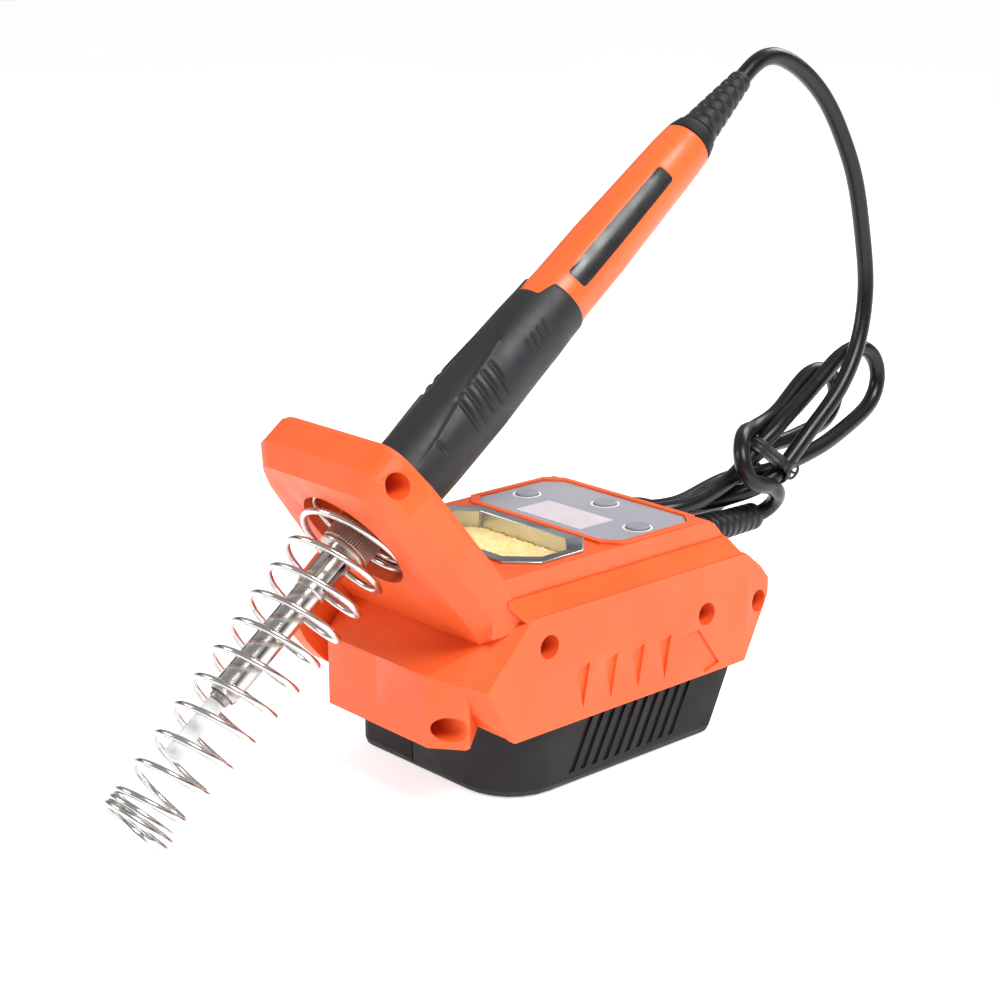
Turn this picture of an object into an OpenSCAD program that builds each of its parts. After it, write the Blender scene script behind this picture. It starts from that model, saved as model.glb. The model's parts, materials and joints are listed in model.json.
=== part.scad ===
// Cordless soldering station: iron, spring stand, sponge tray and slide-on battery pack.
// X runs across the station, -Y is the spring (front) side, +Z is up.
// The origin is the middle of the battery's flat bottom face.

/* [Battery pack] */
// Width of the pack
pack_w = 75; // [70:0.5:84]
// Length of the pack's flat bottom face
foot_l = 94; // [93:0.5:100]
// Height of the pack's body, without the slide rail
pack_h = 39.4; // [39.4:0.1:41]
// Rounding radius of the pack's upright front right corner
pack_corner_r = 20; // [6:0.5:20]
// How far the rear face leans back, per millimetre of height
rear_lean = 0.48; // [0.2:0.02:0.6]
// Wall of the pack's shells
pack_wall = 1.5; // [1.2:0.1:2]
// Diameter of one battery cell
cell_d = 18.1; // [17.8:0.1:18.1]
// Length of one battery cell
cell_l = 65; // [50:0.5:66]
// How far the pack travels along its rail
pack_travel = 120; // [100:5:140]

/* [Housing] */
// Height of the skirt's lower edge above the floor
skirt_z = 24.4; // [18:0.2:27]
// How far the skirt stands out from the pack, each side
skirt_step = 3.5; // [3:0.1:4.5]
// Wall of the housing
wall = 2.3; // [1.8:0.1:2.6]
// Height of the top deck
deck_z = 78; // [77:0.5:86]
// Width of the top deck
deck_w = 75.6; // [73:0.2:77]
// Radius of the recessed screw holes
screw_hole_r = 4; // [3.4:0.1:4.2]

/* [Stand plate] */
// Tilt of the plate's normal and of the iron above the horizontal
tilt = 36.9; // [34:0.1:40]
// Thickness of the plate along the iron
plate_t = 17.5; // [15:0.5:20]
// Radius of the spring opening in the plate's front
bore_r = 19.4; // [18.8:0.1:21]
// Radius of the rear opening that carries the grip
rear_bore_r = 14; // [13.8:0.1:15]
// Radius of the hole in the shelf that the grip's nose rests on
shelf_r = 9.6; // [9.2:0.1:10.4]

/* [Spring] */
// Diameter of the spring's wire
wire_d = 2.2; // [1.6:0.1:2.4]
// Outer radius of the first open turn
spring_top_r = 17.2; // [16.5:0.1:18]
// Outer radius of the last turn
spring_end_r = 12.2; // [12.2:0.1:15]
// Distance from one open turn to the next
spring_pitch = 10.1; // [8:0.1:10.5]
// Number of open turns
spring_turns = 10.5; // [8.5:0.5:10.5]
// How much steeper the spring hangs than the iron
spring_droop = 3.6; // [3:0.1:3.8]

/* [Iron] */
// Radius of the grip at its widest
grip_r = 13.5; // [12:0.1:13.6]
// Radius of the handle where it leaves the grip
handle_r = 11.2; // [10.8:0.1:11.6]
// Radius of the handle at its rear end
handle_end_r = 8.8; // [8:0.1:9.6]
// Length of the handle behind the stand plate
handle_l = 150; // [120:1:170]
// Radius of the polished barrel
barrel_r = 4.7; // [4.4:0.1:5]
// Radius of the knurled nut
nut_r = 8.3; // [7.6:0.1:8.6]
// Distance that the iron draws out of its stand
iron_travel = 150; // [130:5:170]

/* [Panel and tray] */
// Half width of the control panel
panel_hx = 35; // [33:0.2:35.4]
// Depth of the control panel from front to rear
panel_l = 40.4; // [38:0.2:41]
// Radius of the push buttons
button_r = 4; // [3:0.1:4.6]
// Travel of a push button
button_travel = 0.5; // [0.3:0.1:0.6]
// Half width of the sponge tray's rim
tray_hx = 34.2; // [30:0.2:34.4]
// Length of the sponge tray's rim from front to rear
tray_l = 36.4; // [30:0.2:36.6]
// Depth of the sponge tray
tray_depth = 13; // [9:0.5:15]

/* [Cord] */
// Diameter of the cord
cord_d = 6; // [5:0.5:6]

/* [Hidden] */

eps = 0.01;
round_fn = 64;
front_y = -foot_l / 2;
orange = [0.99, 0.42, 0.2];
black = [0.17, 0.17, 0.18];
steel = [0.78, 0.78, 0.8];

// Station outline: y runs from the pack's front face, z from the floor
side_x = pack_w / 2 + skirt_step;
pack_gap = 0.5;
nose_y = -10.9;
nose_z = 44.2;
ridge_z = 63.8;
ridge_front_y = 8;
rear_y = foot_l + 14;
tail_y = foot_l + 28.5;
tail_z = 48.5;
tail_x = side_x - 2;
boot_r = 5.8;
boot_z = 57.6;
prow_y = -22;
prow_hx = 24.8;
prow_z = 48.2;
apron_hx = 34.4;
apron_side_y = -14.4;
shoulder_z = 71;
shoulder_x = deck_w / 2 + 0.9;
deck_rear_y = foot_l + 1;

// Dock that the pack slides into
roof_z = 52;
roof_t = 2.2;
roof_hx = 31.6;
rail_hx = 26.5;
rail_core_hx = 22;
rail_z = roof_z - 0.5;
pack_clear_z = pack_h + 0.8;
rail_t = 3;
rail_gap = 0.4;
rail_front_y = 10.5;
rail_rear_y = foot_l + 9;
latch_y = foot_l + 4.6;
cell_x = -3;
cell_y = 6;
pack_far_r = 5;
latch_floor_z = 24;
latch_spring_l = 8;
lip_z = rail_z - rail_t - rail_gap;
web_hx = rail_hx + rail_gap;
screw_r = 1.4;
screw_head_r = 3;
side_screws = [[15.3, 53], [88.7, 46.4], [116.6, 44.3]];
apron_screw = [-17.2, 31];

// Plate and iron frame: t runs back along the iron, v up and across it
iron_y = -2.7;
iron_z = 108.5;
plate_front_t = -34;
plate_rear_t = plate_front_t + plate_t;
shelf_rear_t = plate_rear_t - 6.9;
shelf_t = 2.4;
plate_top_v = 33;
plate_hx = 31;
plate_round = 9;
plate_screw = [-24.5, 24.6];

// Iron
nose_t = shelf_rear_t + 0.1;
under_grip_r = 10.4;
handle_bore_r = 7.4;
grip_rear_t = 77;
nut_front_t = -40;
nut_rear_t = -28;
barrel_end_t = -97;
slot_end_t = -56;
heater_r = 1.9;
tip_r = 3.3;
tip_shoulder_t = -99.5;
tip_point_t = -117;
cap_r = 2.8;
cap_end_t = -121;
collar_l = 5.5;
boot_l = 29;
boot_end_r = cord_d / 2 + 0.7;
boot_end_t = handle_l + collar_l + boot_l;

// Panel and tray places
panel_y = 48.6;
panel_t = 0.8;
rim_w = 2.4;
rim_h = 0.8;
board_z = 65.5;
board_t = 1.6;
display_hx = 15.6;
display_y = 52.6;
display_l = 15.8;
buttons = [[-27, 68.6], [0, 80.4], [27, 68.6]];
tray_y = 9;
tray_sheet = 0.8;
tray_lip = 3.4;
sponge_gap = 0.4;

// Hank: y, z and half height of its narrow end, its tied middle and its free loop
hank_ends = [[76, 70, 6], [116, 80, 11], [174, 97, 17]];
// Point of the iron's axis, in the origin's own frame
function iron_at(t) = [0, front_y + iron_y + t * cos(tilt), iron_z + t * sin(tilt)];
// Cord route, written in the origin's own frame
arch_points = [iron_at(boot_end_t - 2.5), iron_at(boot_end_t + 4), [0, 112, 226], [0, 122, 223], [0, 134, 217],
    [0, 145, 208], [0, 154, 196], [0, 162, 182], [0, 167, 168], [0, 170, 152],
    [0, 170, 138], [0, 169, 126], [0, 167, 114.5]];
tail_points = [[0, 113, 57.6], [0, 117, 57.6], [0, 121, 59], [0, 124, 63], [0, 125, 67],
    [0, 124, 72]];

// ---- frames and small shapes ----

module at_station() translate([0, front_y, 0]) children();

module at_iron() at_station() translate([0, iron_y, iron_z]) rotate([tilt - 90, 0, 0])
    mirror([0, 1, 0]) children();

// Extrudes a y-z outline across X between -hx and hx
module across(hx, outline) rotate([90, 0, 90]) translate([0, 0, -hx])
    linear_extrude(2 * hx) polygon(outline);

// Cylinder along X from x0 to x1 through the point [y, z]
module cross_pin(x0, x1, place, r) translate([x0, place[0], place[1]]) rotate([0, 90, 0])
    cylinder(h = x1 - x0, r = r, $fn = round_fn);

// Revolves a list of [radius, t] points about the iron's axis
module turned(profile) rotate_extrude($fn = round_fn) polygon(profile);

// Octagon with its corners cut by cx across and cy along
function octagon(hx, y0, y1, cx, cy) = [[-hx + cx, y0], [hx - cx, y0], [hx, y0 + cy],
    [hx, y1 - cy], [hx - cx, y1], [-hx + cx, y1], [-hx, y1 - cy], [-hx, y0 + cy]];

function panel_outline(g) = octagon(panel_hx + g, panel_y - g, panel_y + panel_l + g, 6, 5);
function tray_outline(g) = octagon(tray_hx + g, tray_y - g, tray_y + tray_l + g, 9, 9);

// ---- housing ----

module skirt_form(g) hull() {
    across(side_x - g, [[0.5 + g, skirt_z - g], [nose_y + g, nose_z], [ridge_front_y, ridge_z - g],
        [rear_y - g, ridge_z - g], [rear_y + 1 - g, skirt_z - g]]);
    across(tail_x - g, [[rear_y - 8, skirt_z - g], [rear_y + 2 - g, skirt_z - g],
        [tail_y - g, tail_z - 3], [tail_y - g, tail_z + 3], [rear_y + 10 - g, ridge_z - 7 - g],
        [rear_y - g, ridge_z - g]]);
    across(prow_hx - g, [[prow_y + g, prow_z - 1.5 - g * 0.6], [prow_y + g, prow_z - g],
        [prow_y + 4, prow_z - g]]);
}

// Right half of the apron's plan: front corner, side corner, and a back that slants inwards
function apron_half(g) = [[prow_hx + 0.2 - g, prow_y + 0.2 + g],
    [apron_hx - 1.4 * g, apron_side_y + 0.2 * g], [apron_hx - 1.5 * g, apron_side_y + 1.9 - 0.4 * g],
    [apron_hx - 13 - 1.4 * g, 3]];

module apron_form(g) translate([0, 0, skirt_z - g]) linear_extrude(prow_z - skirt_z - 0.7)
    polygon(concat(apron_half(g), [for (i = [3:-1:0]) [-apron_half(g)[i][0], apron_half(g)[i][1]]]));

module slab(hx, y0, y1, z0, z1) translate([-hx, y0, z0]) cube([2 * hx, y1 - y0, z1 - z0]);

module shoulder_form(g) hull() {
    slab(side_x - g, ridge_front_y + g, rear_y - g, ridge_z - 3, ridge_z - 1.5);
    slab(shoulder_x - g, g, deck_rear_y + 5 - g, shoulder_z - 2 - g, shoulder_z - g);
}

module deck_form(g) across(deck_w / 2 - g, [[-6 + g, ridge_z - 4], [-6 + g, deck_z - g],
    [deck_rear_y - 3, deck_z - g], [deck_rear_y - g, deck_z - 1.8 - g],
    [deck_rear_y + 6 - g, shoulder_z - 1.5 - g], [deck_rear_y + 6 - g, ridge_z - 4]]);

// Right half of the plate's outline, rounded at the top and flared downwards, shrunk by g
function plate_half(g) = concat([[plate_hx + 4 - g, -52], [plate_hx + 7.6 - g, -30],
    [plate_hx + 3 - g, 16]], [for (i = [0:4]) [plate_hx - plate_round - g * 0.4
    + (plate_round - g * 0.6) * cos(22.5 * i), plate_top_v - plate_round - g * 0.4
    + (plate_round - g * 0.6) * sin(22.5 * i)]]);
function plate_outline(g) = let (h = plate_half(g)) concat(h,
    [for (i = [len(h) - 1:-1:0]) [-h[i][0], h[i][1]]]);

module plate_form(g) at_plate() hull() {
    translate([0, 0, plate_front_t + g]) linear_extrude(1) polygon(plate_outline(g + 5));
    translate([0, 0, plate_front_t + 6]) linear_extrude(plate_t - 8 - g) polygon(plate_outline(g));
    translate([0, 0, plate_rear_t - 1.5 - g]) linear_extrude(1.5) polygon(plate_outline(g + 1));
}

// The iron's frame inside the station's own frame
module at_plate() translate([0, iron_y, iron_z]) rotate([tilt - 90, 0, 0])
    mirror([0, 1, 0]) children();

module body_form(g) {
    skirt_form(g);
    apron_form(g);
    shoulder_form(g);
    deck_form(g);
}

// Room for the pack from z0 to z1, open at the rear
module pack_space(z0, z1) translate([-pack_w / 2 - pack_gap, -pack_gap, z0])
    cube([pack_w + 2 * pack_gap, tail_y + 12, z1 - z0]);

module vents() for (i = [0:3]) {
    y = 30.4 + 12.7 * i;
    translate([side_x - 1, 0, 0]) rotate([90, 0, 90]) linear_extrude(3)
        polygon([[y - 3, 41.4], [y + 2.9, 43.4], [y, 28.2]]);
}

module side_slot() translate([side_x - 0.8, 0, 0]) rotate([90, 0, 90]) linear_extrude(3)
    polygon([[77, 41.3], [85, 41.6], [95.8, 27.2], [88.6, 25.4]]);

module screw_tubes() {
    for (p = side_screws) cross_pin(roof_hx + 0.3, side_x + 1, p, screw_hole_r + 1.3);
    cross_pin(-1, apron_hx, apron_screw, screw_hole_r + 1.3);
    at_plate() translate([0, plate_screw[1], plate_screw[0]]) rotate([0, 90, 0]) {
        translate([0, 0, -1]) cylinder(h = 20, r = 3.2, $fn = round_fn);
        translate([0, 0, 16]) cylinder(h = 20, r = screw_hole_r + 1.3, $fn = round_fn);
    }
}

module screw_recesses() {
    for (p = side_screws) {
        cross_pin(roof_hx + 1.8, side_x + 5, p, screw_hole_r);
        cross_pin(roof_hx - 1, side_x, p, screw_r + 0.3);
    }
    cross_pin(10, side_x + 5, apron_screw, screw_hole_r);
    cross_pin(-1, side_x, apron_screw, screw_r + 0.3);
    at_plate() translate([0, plate_screw[1], plate_screw[0]]) rotate([0, 90, 0]) {
        translate([0, 0, 18]) cylinder(h = 40, r = screw_hole_r, $fn = round_fn);
        cylinder(h = 40, r = screw_r + 0.3, $fn = round_fn);
    }
}

// Spring bore, shelf and grip bore through the plate
module plate_bores() at_plate() {
    translate([0, 0, plate_front_t - 30]) cylinder(h = shelf_rear_t - shelf_t - plate_front_t + 30,
        r = bore_r, $fn = round_fn);
    translate([0, 0, plate_front_t - 30]) cylinder(h = 90, r = shelf_r, $fn = round_fn);
    translate([0, 0, shelf_rear_t]) cylinder(h = 40, r = rear_bore_r, $fn = round_fn);
}

module bore_walls() at_plate() {
    translate([0, 0, plate_front_t + 0.5]) cylinder(h = plate_t - 1, r = bore_r + 2, $fn = round_fn);
}

module deck_openings() {
    translate([0, 0, deck_z - 6]) linear_extrude(12) polygon(tray_outline(-tray_lip + 0.9));
    translate([0, 0, deck_z - panel_t]) linear_extrude(3) polygon(panel_outline(0.1));
    translate([-display_hx + 1, display_y + 1, deck_z - 6])
        cube([2 * display_hx - 2, display_l - 2, 9]);
    for (b = buttons) translate([b[0], b[1], deck_z - 8]) cylinder(h = 10, r = button_r + 0.3,
        $fn = round_fn);
}

module panel_rim() translate([0, 0, deck_z - 1]) linear_extrude(rim_h + 1) difference() {
    polygon(panel_outline(rim_w));
    polygon(panel_outline(0.1));
}

module boot_seat(r) translate([0, tail_y - 12, boot_z]) rotate([-90, 0, 0])
    cylinder(h = 18, r = r, $fn = round_fn);

module housing() difference() {
    union() {
        body_form(0);
        plate_form(0);
        panel_rim();
    }
    difference() {
        union() {
            body_form(wall);
            plate_form(wall);
            pack_space(pack_clear_z, roof_z);
        }
        screw_tubes();
        mirror([1, 0, 0]) screw_tubes();
        bore_walls();
    }
    pack_space(-1, pack_clear_z);
    plate_bores();
    vents();
    mirror([1, 0, 0]) vents();
    side_slot();
    mirror([1, 0, 0]) side_slot();
    deck_openings();
    boot_seat(boot_r + 0.3);
}

module half_space(s) translate([s > 0 ? 0 : -200, -300, -50]) cube([200, 700, 400]);

module housing_right() color(orange) at_station() difference() {
    intersection() {
        housing();
        half_space(1);
    }
    screw_recesses();
}

// Rounded wing that stands forward of the left flank
module left_wing() translate([-side_x, 0, 0]) rotate([90, 0, 90])
    linear_extrude(side_x - apron_hx + 1) polygon([[-2, 30], [-10, 31.5], [-16, 35], [-20, 39],
        [-24, 44], [-27.5, 50.5], [-27, 56], [-20, 65.5], [-14, 70.5], [-7, 74], [-2, 70]]);

module housing_left() color(orange) at_station() difference() {
    union() {
        intersection() {
            housing();
            half_space(-1);
        }
        left_wing();
    }
    for (p = side_screws) mirror([1, 0, 0]) {
        cross_pin(roof_hx + 1.8, side_x + 5, p, screw_hole_r);
        cross_pin(roof_hx - 1, side_x, p, screw_r + 0.3);
    }
    cross_pin(-26, 1, apron_screw, screw_r);
    at_plate() translate([-20, plate_screw[1], plate_screw[0]]) rotate([0, 90, 0])
        cylinder(h = 21, r = screw_r, $fn = round_fn);
}

// ---- dock ----

module dock_frame() color(black) at_station() difference() {
    union() {
        translate([-roof_hx, 2, roof_z]) cube([2 * roof_hx, 112, roof_t]);
        for (s = [-1, 1]) scale([s, 1, 1]) {
            translate([web_hx, 6, lip_z - 3]) cube([2.4, 113, roof_z - lip_z + 3 + eps]);
            translate([rail_core_hx + rail_gap, 12, lip_z - 3])
                cube([web_hx - rail_core_hx, 100, 3]);
            for (p = side_screws) cross_pin(web_hx + 1, roof_hx, p, 3);
        }
        for (x = [-28, 28], y = [54, 88]) translate([x, y, roof_z])
            cylinder(h = board_z - roof_z, r = 3, $fn = round_fn);
    }
    for (s = [-1, 1]) scale([s, 1, 1]) for (p = side_screws)
        cross_pin(web_hx + 0.5, roof_hx + 1, p, screw_r);
    for (x = [-28, 28], y = [54, 88]) translate([x, y, board_z - 8])
        cylinder(h = 9, r = 1.1, $fn = round_fn);
}

module screw(r_head, r, l) {
    cylinder(h = 1.8, r = r_head, $fn = round_fn);
    translate([0, 0, -l]) cylinder(h = l, r = r, $fn = round_fn);
}

module dock_screws() color(steel) at_station() for (s = [-1, 1], p = side_screws)
    scale([s, 1, 1]) translate([roof_hx + 1.8, p[0], p[1]]) rotate([0, 90, 0])
        screw(screw_head_r, screw_r, 5);

module housing_screws() color(steel) at_station() {
    translate([10, apron_screw[0], apron_screw[1]]) rotate([0, 90, 0])
        screw(screw_head_r, screw_r, 24);
    at_plate() translate([18, plate_screw[1], plate_screw[0]]) rotate([0, 90, 0])
        screw(screw_head_r, screw_r, 30);
}

module terminal_block() color([0.3, 0.3, 0.32]) at_station()
    translate([-18, 2.2, lip_z - 2]) cube([36, 6.8, roof_z - lip_z + 2]);

module dock_terminals() color([0.8, 0.7, 0.4]) at_station() for (x = [-11, 0, 11])
    translate([x - 0.4, 9, lip_z - 1]) cube([0.8, 11, 3.6]);

// ---- electronics under the deck ----

module control_board() color([0.1, 0.4, 0.25]) at_station() difference() {
    translate([-33, 50, board_z]) cube([66, 42, board_t]);
    for (x = [-28, 28], y = [54, 88]) translate([x, y, board_z - 1])
        cylinder(h = 4, r = 1.3, $fn = round_fn);
}

module board_screws() color(steel) at_station() for (x = [-28, 28], y = [54, 88])
    translate([x, y, board_z + board_t]) screw(2.2, 1.1, 6.5);

module display_module() color([0.8, 0.85, 0.9]) at_station()
    translate([-display_hx + 2, display_y + 2, board_z + board_t])
        cube([2 * display_hx - 4, display_l - 4, deck_z - panel_t - 0.8 - board_z - board_t]);

module display_window() color([0.9, 0.88, 0.93]) at_station()
    translate([-display_hx, display_y, deck_z - panel_t + 0.3])
        cube([2 * display_hx, display_l, panel_t - 0.1]);

module control_panel() color([0.63, 0.64, 0.68]) at_station() difference() {
    translate([0, 0, deck_z - panel_t]) linear_extrude(panel_t) polygon(panel_outline(0));
    translate([-display_hx - 0.1, display_y - 0.1, deck_z - panel_t + 0.3])
        cube([2 * display_hx + 0.2, display_l + 0.2, 4]);
    translate([-display_hx + 2, display_y + 2, deck_z - 4])
        cube([2 * display_hx - 4, display_l - 4, 8]);
    for (b = buttons) translate([b[0], b[1], deck_z - 4]) cylinder(h = 8, r = button_r + 0.2,
        $fn = round_fn);
}

switch_h = 4.4;
switch_z = board_z + board_t + switch_h;
module button(i) color([0.5, 0.51, 0.55]) at_station() translate([buttons[i][0], buttons[i][1], 0]) {
    translate([0, 0, switch_z + 0.8]) cylinder(h = deck_z + 0.9 - switch_z - 0.8, r = button_r,
        $fn = round_fn);
    translate([0, 0, switch_z + 1.6]) cylinder(h = 1.4, r = button_r + 1, $fn = round_fn);
    translate([0, 0, switch_z - 1]) cylinder(h = 2, r = 1.4, $fn = round_fn);
}
module button_left() button(0);
module button_middle() button(1);
module button_right() button(2);

module switch_bodies() color([0.2, 0.2, 0.2]) at_station() for (b = buttons)
    translate([b[0] - 3, b[1] - 3, board_z + board_t]) difference() {
        cube([6, 6, switch_h]);
        translate([3, 3, switch_h - 1.7]) cylinder(h = 3, r = 1.5, $fn = round_fn);
    }

// ---- sponge tray ----

module sponge_tray() color([0.85, 0.85, 0.87]) at_station() difference() {
    union() {
        translate([0, 0, deck_z + 0.02]) linear_extrude(tray_sheet) polygon(tray_outline(0));
        translate([0, 0, deck_z - tray_depth]) linear_extrude(tray_depth + tray_sheet)
            polygon(tray_outline(-tray_lip));
    }
    translate([0, 0, deck_z - tray_depth + tray_sheet]) linear_extrude(tray_depth + 3)
        polygon(tray_outline(-tray_lip - tray_sheet));
}

module sponge() color([0.96, 0.88, 0.6]) at_station()
    translate([0, 0, deck_z - tray_depth + tray_sheet + 0.05]) linear_extrude(tray_depth - 5.6)
        polygon(tray_outline(-tray_lip - tray_sheet - sponge_gap));

// ---- spring stand ----

wire_r = wire_d / 2;
seat_turns = 1.25;
end_turns = 2.75;
turn_steps = 18;
close_pitch = wire_d + 0.12;
spring_start_t = shelf_rear_t - shelf_t - wire_r - 1.3;
all_turns = seat_turns + spring_turns + end_turns;

// Distance run down the spring after a given number of turns
function coil_run(n) = close_pitch * min(n, seat_turns)
    + spring_pitch * max(0, min(n - seat_turns, spring_turns))
    + close_pitch * max(0, n - seat_turns - spring_turns);
function blend(a, b, u) = a + (b - a) * min(1, max(0, u));
// Mean radius of the coil: wide in its seat, then tapering to the end
function coil_r(n) = n < seat_turns
    ? bore_r - 0.8 - wire_r
    : blend(blend(bore_r - 0.8, spring_top_r, (n - seat_turns) / 1), spring_end_r,
        (n - seat_turns) / spring_turns) - wire_r;
// Points of the ring of wire number k, in the spring's own frame
function coil_ring(k) = let (n = k / turn_steps, a = 360 * n + 200, r = coil_r(n))
    [for (j = [0:7]) let (b = 45 * j, q = r + wire_r * cos(b))
        [q * cos(a), q * sin(a), -coil_run(n) + wire_r * sin(b)]];
function tube_faces(rings, sides) = concat(
    [[for (j = [0:sides - 1]) sides - 1 - j]],
    [for (k = [0:rings - 2], j = [0:sides - 1]) let (m = (j + 1) % sides)
        [k * sides + j, k * sides + m, (k + 1) * sides + m, (k + 1) * sides + j]],
    [[for (j = [0:sides - 1]) (rings - 1) * sides + j]]);

module stand_spring() color(steel) {
    rings = floor(all_turns * turn_steps) + 1;
    points = [for (k = [0:rings - 1]) each coil_ring(k)];
    at_iron() translate([0, 0.4, spring_start_t]) rotate([-spring_droop, 0, 0])
        polyhedron(points = points, faces = tube_faces(rings, 8), convexity = 10);
}

// ---- cord entry on the base ----

module boot_body(l, r0, r1, ribs) {
    cylinder(h = l, r1 = r0 - 1.2, r2 = r1 - 0.4, $fn = round_fn);
    for (i = [0:ribs - 1]) translate([0, 0, l * (i + 0.15) / ribs])
        cylinder(h = 0.55 * l / ribs, r = r0 + (r1 - r0) * i / (ribs - 1), $fn = round_fn);
}

module base_boot() color(black) at_station() translate([0, tail_y - 8, boot_z])
    rotate([-90, 0, 0]) difference() {
        union() {
            cylinder(h = 9, r = boot_r, $fn = round_fn);
            translate([0, 0, 8]) boot_body(37.5, boot_r, 5, 13);
        }
        translate([0, 0, -1]) cylinder(h = 60, r = cord_d / 2 + 0.05, $fn = round_fn);
    }

// ---- battery pack ----

// Side outline of the pack body from z0 to z1, shrunk by g
function pack_side(z0, z1, g) = [[g, z0], [foot_l + rear_lean * z0 - g, z0],
    [foot_l + rear_lean * z1 - g, z1], [g, z1]];

// Quarter circle of radius r about [x, y], from angle a to a + 90
function corner(x, y, r, a) = [for (i = [0:6]) [x + r * cos(a + 15 * i), y + r * sin(a + 15 * i)]];
// Plan of the pack: a wide curve at the front right, small ones at the other corners
function pack_plan(g, l) = let (h = pack_w / 2, r = pack_corner_r, q = pack_far_r) concat(
    corner(h - r, r, r - g, -90), corner(h - q, l - q, q - g * 0.6, 0),
    corner(-h + q, l - q, q - g * 0.6, 90), corner(-h + q, q, q - g * 0.6, 180));

module pack_block(z0, z1, g, foot_r) intersection() {
    across(pack_w, pack_side(z0, z1, g));
    hull() {
        l = foot_l + rear_lean * pack_h + 2;
        translate([0, 0, z0]) linear_extrude(0.1) polygon(pack_plan(g + foot_r, l));
        translate([0, 0, z0 + foot_r * 0.3]) linear_extrude(0.1)
            polygon(pack_plan(g + foot_r * 0.4, l));
        translate([0, 0, z0 + foot_r]) linear_extrude(z1 - z0 + 10) polygon(pack_plan(g, l));
    }
}

split_z = 30;
foot_round = 3;
pack_screw_places = [for (x = [-28, 28], k = [1, 4]) [x, cell_y + cell_d * k]];
// Slanted finger grooves in the flanks
module flank_grooves() for (i = [0:9]) translate([0, 5.2 * i, 0]) {
    translate([pack_w / 2 - 0.8, 0, 0]) rotate([90, 0, 90]) linear_extrude(3)
        polygon([[27.5, 5], [29.9, 5], [41, 27], [38.6, 27]]);
}

// Walls round the latch and its spring, from z0 up to z1
module latch_box(z0, z1) intersection() {
    pack_block(0, pack_h, 0, 0);
    translate([-10.6, latch_y - 1.7, z0]) cube([21.2, 40, z1 - z0]);
}

module pack_lower_shell() color(black) at_station() difference() {
    union() {
        difference() {
            pack_block(0, split_z, 0, foot_round);
            pack_block(pack_wall, split_z + 5, pack_wall, foot_round - 1.5);
        }
        latch_box(latch_floor_z - 1.6, split_z);
        for (p = pack_screw_places) translate([p[0], p[1], 0.5]) cylinder(h = 3.1, r = 3, $fn = round_fn);
    }
    for (p = pack_screw_places) translate([p[0], p[1], -1]) {
        cylinder(h = 3, r = 2.5, $fn = round_fn);
        cylinder(h = 6, r = 1.3, $fn = round_fn);
    }
    flank_grooves();
    mirror([1, 0, 0]) flank_grooves();
    translate([-9.3, -1, 2]) cube([0.6, 1.6, 60]);
    latch_space();
}

module pack_upper_shell() color([0.14, 0.14, 0.15]) at_station() difference() {
    union() {
        difference() {
            pack_block(split_z, pack_h, 0, 0);
            pack_block(split_z - 5, pack_h - pack_wall, pack_wall, 0);
        }
        latch_box(split_z, pack_h);
        translate([-rail_core_hx, rail_front_y, pack_h - 1])
            cube([2 * rail_core_hx, rail_rear_y - rail_front_y, rail_z - pack_h + 1]);
        translate([-rail_hx, rail_front_y + 2, rail_z - rail_t])
            cube([2 * rail_hx, rail_rear_y - rail_front_y - 2, rail_t]);
    }
    translate([-rail_core_hx + 2, rail_front_y + 12, pack_h - 3])
        cube([2 * rail_core_hx - 4, latch_y - rail_front_y - 16, rail_z - pack_h + 1]);
    for (x = [-11, 0, 11]) translate([x - 1.2, rail_front_y - 1, lip_z - 1.5]) cube([2.4, 13, 20]);
    latch_space();
}

module pack_cells() color([0.25, 0.45, 0.7]) at_station() for (i = [0:4], k = [0:1])
    translate([cell_x - cell_l / 2, cell_y + cell_d * (i + 0.5),
        pack_wall + 0.1 + cell_d * (k + 0.5)])
        rotate([0, 90, 0]) cylinder(h = cell_l, r = cell_d / 2 - 0.05, $fn = round_fn);

module cell_straps() color([0.8, 0.8, 0.78]) at_station() for (s = [-1, 1], i = [0:1])
    translate([cell_x + s * (cell_l / 2 + 0.15) - 0.15, cell_y + 5 + 2 * cell_d * i, 6])
        cube([0.3, cell_d * 1.5, 26]);

module pack_board() color([0.1, 0.35, 0.2]) at_station()
    translate([-rail_core_hx + 2.1, rail_front_y + 13, pack_h + 0.5])
        cube([2 * rail_core_hx - 4.2, latch_y - rail_front_y - 19, 1.4]);

module pack_contacts() color([0.8, 0.7, 0.4]) at_station() for (x = [-11, 0, 11], s = [-1, 1])
    translate([x + s * 0.8 - 0.3, rail_front_y + 1, lip_z - 1.4]) cube([0.5, 9, 4.4]);

module pack_screws() color(steel) at_station() for (p = pack_screw_places)
    translate([p[0], p[1], 2]) mirror([0, 0, 1]) screw(2.4, 1.2, 1.6);

module latch_space() translate([-9, latch_y, latch_floor_z]) cube([18, 60, 60]);

module pack_latch() color([0.75, 0.12, 0.1]) at_station() {
    translate([-8.7, latch_y + 0.3, latch_floor_z + latch_spring_l])
        cube([17.4, 10, rail_z - latch_floor_z - latch_spring_l - 2]);
    translate([-6, latch_y + 0.3, rail_z - 3]) cube([12, 4, 3.1]);
}

module latch_spring() color(steel) at_station() translate([0, latch_y + 5.5, latch_floor_z + 0.05])
    difference() {
        cylinder(h = latch_spring_l - 0.1, r = 2.6, $fn = round_fn);
        translate([0, 0, -1]) cylinder(h = 30, r = 1.9, $fn = round_fn);
    }

// ---- iron ----

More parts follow.
